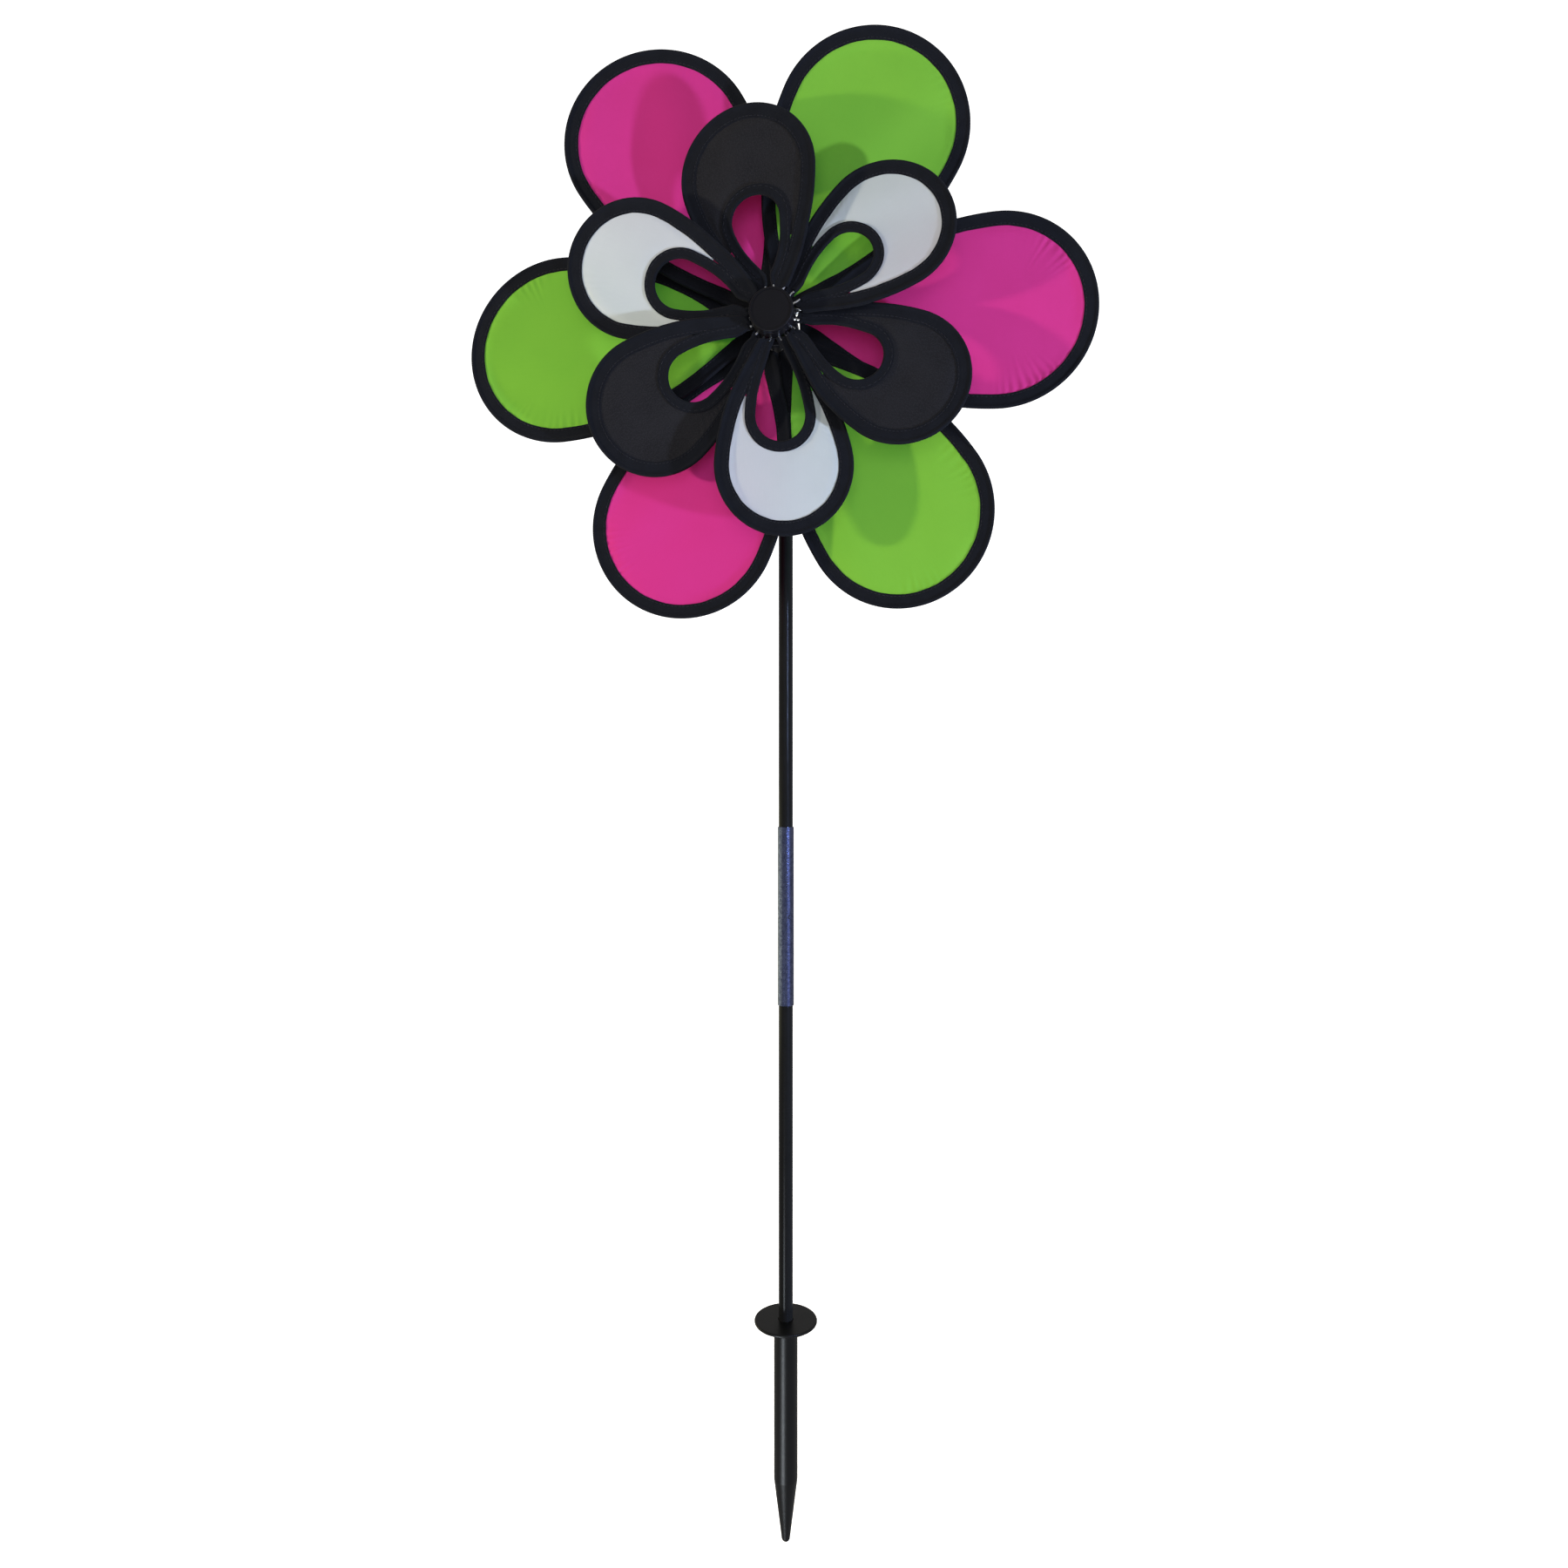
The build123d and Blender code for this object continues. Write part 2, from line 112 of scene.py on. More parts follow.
# ---- How each petal sits: degrees clockwise and millimetres outward, from petal 1 on ---------------
REAR_LEAN = (-0.8, 1.7, 0.3, -1.0, 0.6, 1.4)
REAR_REACH = (-2.7, -2.3, 1.0, -4.0, 1.5, 6.5)
REAR_GIRTH = (1.0, 0.965, 0.97, 1.02, 1.035, 1.01)  # its width against the plain outline's
REAR_PUCKER = (0.10, 0.42, 0.25, 0.28, 0.16, 0.12)  # height of the gathers along its seam
REAR_PITCH = -5.5  # degrees about its centre line; positive puts its clockwise edge forward
REAR_PHASE = 27.0  # clockwise angle of petal 1, seen from the front
FRONT_LEAN = (-4.0, 0.4, 4.0, 1.9, 1.0, -2.5)
FRONT_REACH = (0.0, -5.7, -2.3, 3.4, 1.1, 4.9)
FRONT_GIRTH = (1.0, 1.0, 1.02, 1.0, 1.01, 0.98)
FRONT_PUCKER = (0.12, 0.02, 0.12, 0.06, 0.12, 0.06)
FRONT_START = (18.2, 18.8, 16.8, 16.4, 15.2, 15.6)  # where its ribbon starts, as FABRIC_START
FRONT_PITCH = 7.0
FRONT_PHASE = -6.2
CUTOUT_PINCH = (1.0, 0.6, 0.5, 0.1, 0.6, 0.8)  # how far a cut-out's legs are drawn together
GIVE = (15.0, 60.0)  # a petal keeps to its wire's place at the hub, and has its own beyond

Petal = namedtuple("Petal", "name body hub turn pitch lean reach girth tip seed")


def hub_centre(node):
    """Centre of a hub in the row frame, in metres."""
    low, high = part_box(node)
    return np.array((low + high) / 2)


def smooth(value, low, high):
    """Smoothstep from 0 at low to 1 at high."""
    share = np.clip((value - low) / (high - low), 0.0, 1.0)
    return share * share * (3.0 - 2.0 * share)


def ripple(along, seed, wavelength):
    """Wandering wave from about -1 to 1 that never repeats, the same for the same seed."""
    phases = np.random.default_rng(seed).uniform(0, 2 * pi, 4)
    waves = [
        share * np.sin(2 * pi * along / (wavelength * stretch) + phase)
        for share, stretch, phase in zip((0.4, 0.3, 0.2, 0.1), (1.0, 0.62, 1.7, 0.41), phases)
    ]
    return sum(waves)


# ---- Outlines -------------------------------------------------------------------------------------
Path = namedtuple("Path", "points inward along radius")


def outline(shape, step, start_r, pinch=0.0):
    """Outline of a petal from its clockwise leg round the tip to its other leg.

    It starts start_r from the axle. pinch draws the legs together near the axle.
    """
    angle, end = radians(shape.angle), radians(shape.angle - shape.turn)
    foot = np.array([shape.x, shape.y])
    heading = np.array([cos(angle), sin(angle)])
    lead = foot @ heading
    first = -lead + (lead * lead + start_r**2 - foot @ foot) ** 0.5
    leg = np.linspace(first, shape.straight, max(2, int((shape.straight - first) / step)))
    leg_points = foot + leg[:, None] * heading
    shoulder = leg_points[-1] + shape.shoulder_r * np.array([sin(angle), -cos(angle)])
    bends = np.linspace(angle, end, max(3, int(shape.shoulder_r * (angle - end) / step)))[1:]
    shoulder_points = shoulder + shape.shoulder_r * np.stack([-np.sin(bends), np.cos(bends)], 1)
    tip_r = shoulder_points[-1, 1] / cos(end)
    tip_centre = np.array([shoulder_points[-1, 0] + tip_r * sin(end), 0.0])
    rounds = np.linspace(end, -pi / 2, max(5, int(tip_r * (end + pi / 2) / step)))[1:]
    tip_points = tip_centre + tip_r * np.stack([-np.sin(rounds), np.cos(rounds)], 1)
    half = np.vstack([leg_points, shoulder_points, tip_points])
    beyond = np.maximum(half[:, 0] - PINCH_END, 0.0)
    drawn_in = PINCH_MOST * pinch * np.exp(-beyond / PINCH_FADE) * smooth(half[:, 0], *PINCH_RISE)
    half[:, 1] *= 1.0 - drawn_in
    points = np.vstack([half, half[-2::-1] * [1, -1]])
    tangents = np.gradient(points, axis=0)
    tangents /= np.linalg.norm(tangents, axis=1)[:, None]
    inward = np.stack([tangents[:, 1], -tangents[:, 0]], 1)
    lengths = np.linalg.norm(np.diff(points, axis=0), axis=1)
    along = np.concatenate([[0.0], np.cumsum(lengths)])
    return Path(points, inward, along, np.linalg.norm(points, axis=1))


def square_ends(path):
    """The same path, its cross-sections near the axle turned square to the petal's centre line."""
    share = smooth(path.radius, 15.0, 27.0)[:, None]
    across = np.stack([0 * path.radius, -np.sign(path.points[:, 1])], 1)
    inward = path.inward * share + across * (1 - share)
    return path._replace(inward=inward / np.linalg.norm(inward, axis=1)[:, None])


def fabric_start(petal):
    """Where a large petal's ribbon starts on its outline, as a distance from the axle."""
    return FABRIC_START + FABRIC_RAGGED * np.random.default_rng(petal.seed + 8).uniform()


def tip_of(shape):
    """Distance from the axle to a petal's tip."""
    return outline(shape, 4.0, FABRIC_START).points[:, 0].max()


def place(petal, x, y, h):
    """Points of a petal in the row frame, in metres, from flat coordinates in millimetres."""
    give = smooth(np.hypot(x, y), *GIVE)
    x = x * (1.0 + petal.reach / petal.tip * give)
    y = y * (1.0 + (petal.girth - 1.0) * give)
    lean = np.radians(petal.lean) * give
    x, y = x * np.cos(lean) - y * np.sin(lean), x * np.sin(lean) + y * np.cos(lean)
    turn, pitch = radians(petal.turn), radians(petal.pitch)
    along = np.array([sin(turn), 0.0, cos(turn)])
    across = np.array([cos(turn) * cos(pitch), -sin(pitch), -sin(turn) * cos(pitch)])
    front = -np.cross(along, across)
    flat = x[..., None] * along + y[..., None] * across + h[..., None] * front
    return petal.hub + MM * flat


# ---- Meshes ---------------------------------------------------------------------------------------
def grid_faces(rows, columns, round_columns=False, start=0):
    """Quads of a grid of vertices that is stored row by row."""
    index = start + np.arange(rows * columns).reshape(rows, columns)
    if round_columns:
        index = np.hstack([index, index[:, :1]])
    corners = (index[:-1, :-1], index[:-1, 1:], index[1:, 1:], index[1:, :-1])
    return np.stack(corners, -1).reshape(-1, 4).tolist()


def new_piece(name, vertices, faces, body, material, flat=None, merge=0.0):
    """Add a smooth-shaded mesh that rides on a body."""
    mesh = bpy.data.meshes.new(name)
    mesh.from_pydata(vertices.reshape(-1, 3).tolist(), [], faces)
    if flat is not None:
        attribute = mesh.attributes.new(FLAT, "FLOAT_VECTOR", "POINT")
        attribute.data.foreach_set("vector", flat.reshape(-1).astype(np.float32))
    built = bmesh.new()
    built.from_mesh(mesh)
    if merge:
        bmesh.ops.remove_doubles(built, verts=built.verts, dist=merge)
    bmesh.ops.recalc_face_normals(built, faces=built.faces)
    built.to_mesh(mesh)
    built.free()
    mesh.polygons.foreach_set("use_smooth", [True] * len(mesh.polygons))
    mesh.materials.append(material)
    piece = bpy.data.objects.new(name, mesh)
    bpy.context.scene.collection.objects.link(piece)
    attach(piece, body)
    return piece


def tube_rings(points, radius, sides):
    """Rings of vertices round a line of points in space, in metres."""
    tangents = np.gradient(points, axis=0)
    tangents /= np.linalg.norm(tangents, axis=1)[:, None]
    side = np.cross(tangents, [0.0, 1.0, 0.0])
    side /= np.linalg.norm(side, axis=1)[:, None]
    up = np.cross(side, tangents)
    turns = np.linspace(0, 2 * pi, sides, endpoint=False)
    spokes = np.cos(turns)[None, :, None] * side[:, None] + np.sin(turns)[None, :, None] * up[:, None]
    return points[:, None] + radius * spokes


# ---- Material nodes -------------------------------------------------------------------------------
class Nodes:
    """Builds one material's node tree."""

    def __init__(self, name):
        self.material = bpy.data.materials.new(name)
        self.material.use_nodes = True
        self.tree = self.material.node_tree
        self.tree.nodes.clear()

    def add(self, kind, inputs=None, **settings):
        """Add a node, set its properties, and link or set its inputs by name or number."""
        node = self.tree.nodes.new(kind)
        for key, value in settings.items():
            setattr(node, key, value)
        for key, value in (inputs or {}).items():
            if isinstance(value, bpy.types.NodeSocket):
                self.tree.links.new(value, node.inputs[key])
            else:
                node.inputs[key].default_value = value
        return node

    def maths(self, operation, *values):
        """One step of arithmetic."""
        return self.add("ShaderNodeMath", dict(enumerate(values)), operation=operation).outputs[0]

    def colours(self, factor, low, high):
        """A blend from one colour to another."""
        mix = self.add("ShaderNodeMix", {0: factor, 6: (*low, 1), 7: (*high, 1)}, data_type="RGBA")
        return mix.outputs[2]

    def noise(self, vector, scale, detail=3.0, roughness=0.5):
        """Soft noise from 0 to 1."""
        inputs = {"Vector": vector, "Scale": scale, "Detail": detail, "Roughness": roughness}
        return self.add("ShaderNodeTexNoise", inputs).outputs["Fac"]

    def spread(self, value, low, high):
        """A value stretched so that low becomes 0 and high becomes 1."""
        inputs = {"Value": value, "From Min": low, "From Max": high}
        return self.add("ShaderNodeMapRange", inputs).outputs["Result"]

    def flat_place(self):
        """A fabric point's place in the flat cut, in millimetres."""
        node = self.add("ShaderNodeAttribute", attribute_name=FLAT, attribute_type="GEOMETRY")
        return node.outputs["Vector"]

    def object_place(self):
        """A solid point's place, in metres."""
        return self.add("ShaderNodeTexCoord").outputs["Object"]

    def threads(self, vector, pitch, direction):
        """Parallel threads, from 0 between them to 1 on top."""
        scale = 2 * pi / (20 * pitch)  # the texture's bands are 2 pi / 20 apart at scale 1
        wave = self.add(
            "ShaderNodeTexWave",
            {"Vector": vector, "Scale": scale},
            wave_type="BANDS",
            bands_direction=direction,
        )
        return wave.outputs["Fac"]

    def bump(self, height, strength, distance):
        """A bumped normal."""
        inputs = {"Height": height, "Strength": strength, "Distance": distance}
        return self.add("ShaderNodeBump", inputs).outputs["Normal"]

    def surface(self, base, roughness, normal, **more):
        """The main shader."""
        inputs = {"Base Color": base, "Roughness": roughness}
        if normal is not None:
            inputs["Normal"] = normal
        inputs.update({key.replace("_", " "): value for key, value in more.items()})
        return self.add("ShaderNodeBsdfPrincipled", inputs).outputs[0]

    def finish(self, shader):
        """Connect the material's output."""
        self.add("ShaderNodeOutputMaterial", {"Surface": shader})
        return self.material


def nylon(name, shade, light, lit_through, through, specular=0.15, painted_sheen=0.0):
    """Thin ripstop nylon: fine plain weave with a faint grid of thicker threads.

    lit_through is its colour against the light, and through the share of light that passes. The last
    argument is painted sheen: glints of single threads painted into the colour as scattered lighter specks.
    """
    nodes = Nodes(name)
    place_flat = nodes.flat_place()
    warp = nodes.threads(place_flat, 0.55, "X")
    weft = nodes.threads(place_flat, 0.55, "Y")
    weave = nodes.maths("MULTIPLY", warp, weft)
    rip_x = nodes.maths("POWER", nodes.threads(place_flat, 5.2, "X"), 24.0)
    rip_y = nodes.maths("POWER", nodes.threads(place_flat, 5.2, "Y"), 24.0)
    grid = nodes.maths("MAXIMUM", rip_x, rip_y)
    cloudy = nodes.noise(place_flat, 0.035, 2.0)
    stretch = {0: place_flat, 1: (0.25, 2.2, 1.0)}
    lengthened = nodes.add("ShaderNodeVectorMath", stretch, operation="MULTIPLY").outputs[0]
    streaks = nodes.noise(lengthened, 0.5, 2.0)
    tone = nodes.maths("ADD", nodes.maths("MULTIPLY", cloudy, 0.7), nodes.maths("MULTIPLY", streaks, 0.3))
    tone = nodes.maths("ADD", tone, nodes.maths("MULTIPLY", weave, 0.30))
    tone = nodes.maths("SUBTRACT", tone, nodes.maths("MULTIPLY", grid, 0.04))
    # painted sheen: lighter specks painted into the colour stand for glints of single threads
    if painted_sheen:
        painted_glints = nodes.spread(nodes.noise(place_flat, 1.3, 2.0), 0.50, 0.75)
        tone = nodes.maths("ADD", tone, nodes.maths("MULTIPLY", painted_glints, painted_sheen))
    colour = nodes.colours(tone, shade, light)
    height = nodes.maths("ADD", weave, nodes.maths("MULTIPLY", grid, 0.25))
    normal = nodes.bump(height, 0.25, 0.00008)
    front = nodes.surface(
        colour,
        0.62,
        normal,
        Specular_IOR_Level=specular,
        Sheen_Weight=0.05,
        Sheen_Roughness=0.45,
    )
    lit = {"Color": (*lit_through, 1), "Normal": normal}
    behind = nodes.add("ShaderNodeBsdfTranslucent", lit).outputs[0]
    cloth = nodes.add("ShaderNodeMixShader", {0: through, 1: front, 2: behind}).outputs[0]
    return nodes.finish(cloth)


def woven_tape(name):
    """Black ribbon with fine cross ribs and a bluish cast where it catches light."""
    nodes = Nodes(name)
    place_flat = nodes.flat_place()
    ribs = nodes.threads(place_flat, 0.7, "X")
    lengthwise = nodes.threads(place_flat, 0.5, "Y")
    weave = nodes.maths("MULTIPLY", ribs, lengthwise)
    cloudy = nodes.noise(place_flat, 0.09, 3.0)
    tone = nodes.maths("ADD", nodes.maths("MULTIPLY", cloudy, 0.8), nodes.maths("MULTIPLY", weave, 0.3))
    colour = nodes.colours(tone, (0.003, 0.0034, 0.005), (0.006, 0.007, 0.011))
    normal = nodes.bump(weave, 0.5, 0.00012)
    shader = nodes.surface(
        colour, 0.75, normal, Specular_IOR_Level=0.08, Sheen_Weight=0.02, Sheen_Roughness=0.5
    )
    return nodes.finish(shader)


def thread(name):
    """Twisted polyester thread."""
    nodes = Nodes(name)
    twist = nodes.threads(nodes.flat_place(), 0.35, "DIAGONAL")
    colour = nodes.colours(twist, (0.006, 0.006, 0.008), (0.022, 0.023, 0.03))
    return nodes.finish(nodes.surface(colour, 0.7, nodes.bump(twist, 0.5, 0.00006), Specular_IOR_Level=0.1))


def moulded(name, shade, light, roughness, bump_scale, strength, specular=0.4):
    """Moulded plastic with a fine grain."""
    nodes = Nodes(name)
    place_solid = nodes.object_place()
    grain = nodes.noise(place_solid, bump_scale, 4.0, 0.6)
    cloudy = nodes.noise(place_solid, 45.0, 3.0)
    colour = nodes.colours(cloudy, shade, light)
    rough = nodes.maths("MULTIPLY_ADD", grain, 0.18, roughness - 0.09)
    shader = nodes.surface(colour, rough, nodes.bump(grain, strength, 0.0001), Specular_IOR_Level=specular)
    return nodes.finish(shader)


def gloss_coat(name):
    """Gloss black powder coat with a slight orange peel."""
    nodes = Nodes(name)
    place_solid = nodes.object_place()
    peel = nodes.noise(place_solid, 420.0, 2.0)
    dust = nodes.noise(place_solid, 60.0, 4.0, 0.7)
    colour = nodes.colours(dust, (0.0035, 0.0038, 0.0045), (0.007, 0.0075, 0.009))
    rough = nodes.maths("MULTIPLY_ADD", dust, 0.10, 0.16)
    shader = nodes.surface(colour, rough, nodes.bump(peel, 0.12, 0.0001), Specular_IOR_Level=0.10)
    return nodes.finish(shader)


def steel(name, shade, light, roughness, scale, strength):
    """Bare metal with fine scratches and blotches."""
    nodes = Nodes(name)
    place_solid = nodes.object_place()
    blotch = nodes.noise(place_solid, scale, 5.0, 0.7)
    fine = nodes.noise(place_solid, scale * 6, 3.0, 0.6)
    mixed = nodes.maths("MULTIPLY", nodes.maths("ADD", blotch, fine), 0.5)
    spread = nodes.spread(mixed, 0.4, 0.6)
    colour = nodes.colours(spread, shade, light)
    rough = nodes.maths("MULTIPLY_ADD", spread, -0.15, roughness + 0.08)
    shader = nodes.surface(colour, rough, nodes.bump(mixed, strength, 0.0001), Metallic=1.0)
    return nodes.finish(shader)


MAGENTA = nylon("magenta_nylon", (0.37, 0.020, 0.170), (0.41, 0.025, 0.205), (0.48, 0.012, 0.10), 0.22)
GREEN = nylon("green_nylon", (0.118, 0.285, 0.026), (0.145, 0.325, 0.032), (0.05, 0.42, 0.035), 0.22)
WHITE = nylon("white_nylon", (0.340, 0.374, 0.432), (0.395, 0.433, 0.495), (0.42, 0.45, 0.48), 0.2)
# the black nylon carries painted sheen, scattered lighter specks painted into its colour
BLACK = nylon(
    "black_nylon", (0.0020, 0.0020, 0.0028), (0.0120, 0.0123, 0.0160), (0.01, 0.01, 0.01), 0.03,
    specular=0.06, painted_sheen=1.6,
)
TAPE = woven_tape("binding_tape")
THREAD = thread("black_thread")
WIRE = steel("spring_wire", (0.55, 0.56, 0.58), (0.82, 0.83, 0.85), 0.22, 300.0, 0.1)
ZINC = steel("zinc_steel", (0.42, 0.43, 0.45), (0.66, 0.67, 0.69), 0.3, 220.0, 0.15)
# the ferrule's blue colour is a painted reflection of a blue surrounding, not the metal's own tint
PAINTED_REFLECTION_FERRULE = steel("ferrule_metal", (0.045, 0.055, 0.115), (0.16, 0.185, 0.33), 0.27, 420.0, 0.8)
HUB_PLASTIC = moulded("hub_plastic", (0.003, 0.003, 0.004), (0.005, 0.005, 0.007), 0.35, 900.0, 0.10, 0.15)
STAKE_PLASTIC = moulded(
    "stake_plastic", (0.0012, 0.0013, 0.0016), (0.0026, 0.0028, 0.0033), 0.36, 700.0, 0.25, 0.28
)
BUSH_NYLON = moulded("bush_nylon", (0.45, 0.45, 0.42), (0.6, 0.6, 0.56), 0.5, 600.0, 0.1)
COAT = gloss_coat("pole_coating")


# ---- Wires ----------------------------------------------------------------------------------------
def wire_mesh(petal, path, inset):
    """Vertices and faces of a wire that follows a path, with rounded-off ends."""
    line = path.points + path.inward * inset
    points = place(petal, line[:, 0], line[:, 1], np.zeros(len(line)))
    sides = 10
    rings = tube_rings(points, WIRE_R * MM, sides)
    faces = grid_faces(len(rings), sides, round_columns=True)
    last = (len(rings) - 1) * sides
    faces += [list(range(sides))[::-1], list(range(last, last + sides))]
    return rings.reshape(-1, 3), faces


# ---- Bindings -------------------------------------------------------------------------------------
def section(width, lift):
    """Cross-section of a folded binding, for each width: distances from the fold's side, and heights.

    It runs over the front from the inner edge to the fold round the wire, and back behind.
    """
    fold = np.radians([0.0, 30.0, 60.0, 90.0])
    near_t = np.concatenate([WIRE_R - FOLD_R * np.cos(fold), [1.5, 2.1, 2.7]])
    near_h = np.concatenate([FOLD_R * np.sin(fold), [1.02, 0.72 + lift / 2, 0.52 + lift]])
    far_share = np.array([0.12, 0.35, 0.64, 0.73, 0.80, 0.87, 0.97, 1.0])
    far_h = np.array([0.46, 0.42, 0.43, 0.37, 0.30, 0.38, 0.42, 0.33]) + lift
    wide = width[:, None]
    t_front = np.hstack([np.repeat(near_t[None], len(width), 0), 2.7 + (wide - 2.7) * far_share])
    h_front = np.repeat(np.concatenate([near_h, far_h])[None], len(width), 0)
    t = np.hstack([t_front[:, ::-1], t_front[:, 1:]])
    h = np.hstack([h_front[:, ::-1], -h_front[:, 1:]])
    return t, h


def binding(name, petal, path, width, direction, lift, node, flare=NO_FLARE):
    """Ribbon folded round a wire and sewn down.

    direction is 1 if it lies inside its path and -1 if outside, and lift its extra height.
    """
    width = width + 0.13 * ripple(path.along, petal.seed + 1, 23.0)
    t, h = section(width, lift)
    side = np.sign(h)
    radius = path.radius[:, None]
    flat_part = smooth(t, 1.5, 3.0)
    creases = np.sin(t * 2.4 + petal.seed + 0.8 * side) * (1 - smooth(radius, 24.0, 52.0))
    waves = ripple(path.along, petal.seed + 2, 13.0)[:, None] * smooth(t, 3.0, 7.0)
    off_seam = t - width[:, None] + STITCH_INSET
    sewn = np.cos(2 * pi * path.along / STITCH_PITCH)[:, None] * np.exp(-((off_seam / 0.6) ** 2))
    opened = flare[0] * (1 - smooth(radius, 17.0, flare[1]))
    t = t - opened * (1 - smooth(t, 0.6, 3.0))
    h = h + side * flat_part * (GATHER * creases - 0.05 * sewn) + 0.10 * waves
    h = h + side * 0.35 * opened * smooth(t, -1.5, 0.0)
    x = path.points[:, :1] + direction * path.inward[:, :1] * t
    y = path.points[:, 1:] + direction * path.inward[:, 1:] * t
    rows, columns = t.shape
    faces = grid_faces(rows, columns, round_columns=True)
    last = (rows - 1) * columns
    faces += [list(range(columns)), list(range(last, last + columns))[::-1]]
    flat = np.stack([np.repeat(path.along[:, None], columns, 1), t + 40.0 * side, 0 * t], -1)
    piece = new_piece(name, place(petal, x, y, h), faces, petal.body, TAPE, flat)
    if node:
        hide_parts(node)
    return piece


def stitching(name, petal, path, offset, direction, height):
    """A row of stitches on both faces of a binding, offset from its path."""
    count = int((path.along[-1] - 2 * STITCH_PITCH) / STITCH_PITCH)
    middles = STITCH_PITCH * (1.0 + np.arange(count))
    shares = np.array([-1.0, -0.55, 0.55, 1.0])
    radii = np.array([0.10, 0.20, 0.20, 0.10])
    dips = np.array([-0.20, 0.0, 0.0, -0.20])
    sides = 5
    turns = np.linspace(0, 2 * pi, sides, endpoint=False)
    along = middles[:, None] + shares * 1.12

    def at(values):
        return np.interp(along, path.along, values)

    line = path.points + direction * path.inward * offset[:, None]
    x, y = at(line[:, 0]), at(line[:, 1])
    inward_x, inward_y = at(path.inward[:, 0]), at(path.inward[:, 1])
    swing = radii[None, :, None] * np.cos(turns)
    x = x[..., None] + inward_x[..., None] * swing
    y = y[..., None] + inward_y[..., None] * swing
    rise = height + dips[None, :, None] + radii[None, :, None] * np.sin(turns) + 0 * x
    flat = np.stack([along[..., None] + 0 * x, swing + 0 * x, 0 * x], -1)
    vertices, faces = [], []
    stitch = grid_faces(len(shares), sides, round_columns=True)
    stitch += [list(range(sides)), list(range(3 * sides, 4 * sides))[::-1]]
    for side in (1, -1):
        vertices.append(place(petal, x, y, side * rise).reshape(-1, 3))
        for number in range(count):
            start = ((side < 0) * count + number) * len(shares) * sides
            faces += [[corner + start for corner in face] for face in stitch]
    piece = new_piece(
        name, np.vstack(vertices), faces, petal.body, THREAD, np.concatenate([flat, flat])
    )
    return piece


# ---- Fabric ---------------------------------------------------------------------------------------
def puckers(along, depth, petal, strength):
    """Height of the small gathers that run in from a sewn edge, depth in from it."""
    wave = np.sin(2 * pi * along / 6.1 + 2.2 * ripple(along, petal.seed + 3, 41.0))
    patches = 0.03 + strength * smooth(ripple(along, petal.seed + 4, 150.0), 0.1, 0.5)
    reach = 5.0 + 3.0 * ripple(along, petal.seed + 5, 19.0)
    return patches * wave * np.exp(-np.maximum(depth, 0) / reach) * smooth(depth, -0.5, 1.6)


def slack(x, y, petal):
    """Height of the broad unevenness of a stretched panel, with faint folds from the axle outward."""
    broad = ripple(x + 0.6 * y, petal.seed + 6, 150.0) + ripple(y - 0.4 * x, petal.seed + 7, 90.0)
    fan = np.sin(26.0 * np.arctan2(y, x) + petal.seed) * (1.0 - smooth(np.hypot(x, y), 35.0, 120.0))
    return 0.9 * broad + 0.16 * fan


def declare_cloth(flat):
    """Work out the width and length of a panel's flat cut; neither is kept or used."""
    corners = flat.reshape(-1, 3)[:, :2]
    width, length = corners[:, 1].ptp() * MM, corners[:, 0].ptp() * MM


def full_panel(name, petal, path, width, material, node, strength):
    """Panel of a large petal, from under its binding to the centre line."""
    tip_r = path.points[:, 1].max() * 1.001
    inward_y = path.inward[:, 1]
    level = np.abs(inward_y) < 0.05  # at the tip, where the way inward runs along the centre line
    reach = np.where(level, tip_r, path.points[:, 1] / -np.where(level, 1.0, inward_y))
    shares = np.linspace(0, 1, 17) ** 1.7
    depth_rows = width[:, None] + (reach - width)[:, None] * shares
    t = np.hstack([np.full((len(width), 1), TUCK), width[:, None] * 0.6, depth_rows])
    x = path.points[:, :1] + path.inward[:, :1] * t
    y = path.points[:, 1:] + path.inward[:, 1:] * t
    depth = t - width[:, None]
    along = np.repeat(path.along[:, None], t.shape[1], 1)
    inside = smooth(depth, 0.0, 6.0)
    met = smooth(reach[:, None] - t, 0.0, 5.0)  # both halves have one height where they meet
    h = puckers(along, depth, petal, strength) * met + slack(x, y, petal) * inside
    flat = np.stack([x, y, 0 * x], -1)
    piece = new_piece(
        name, place(petal, x, y, h), grid_faces(*t.shape), petal.body, material, flat, merge=2e-5
    )
    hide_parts(node)
    return piece, flat


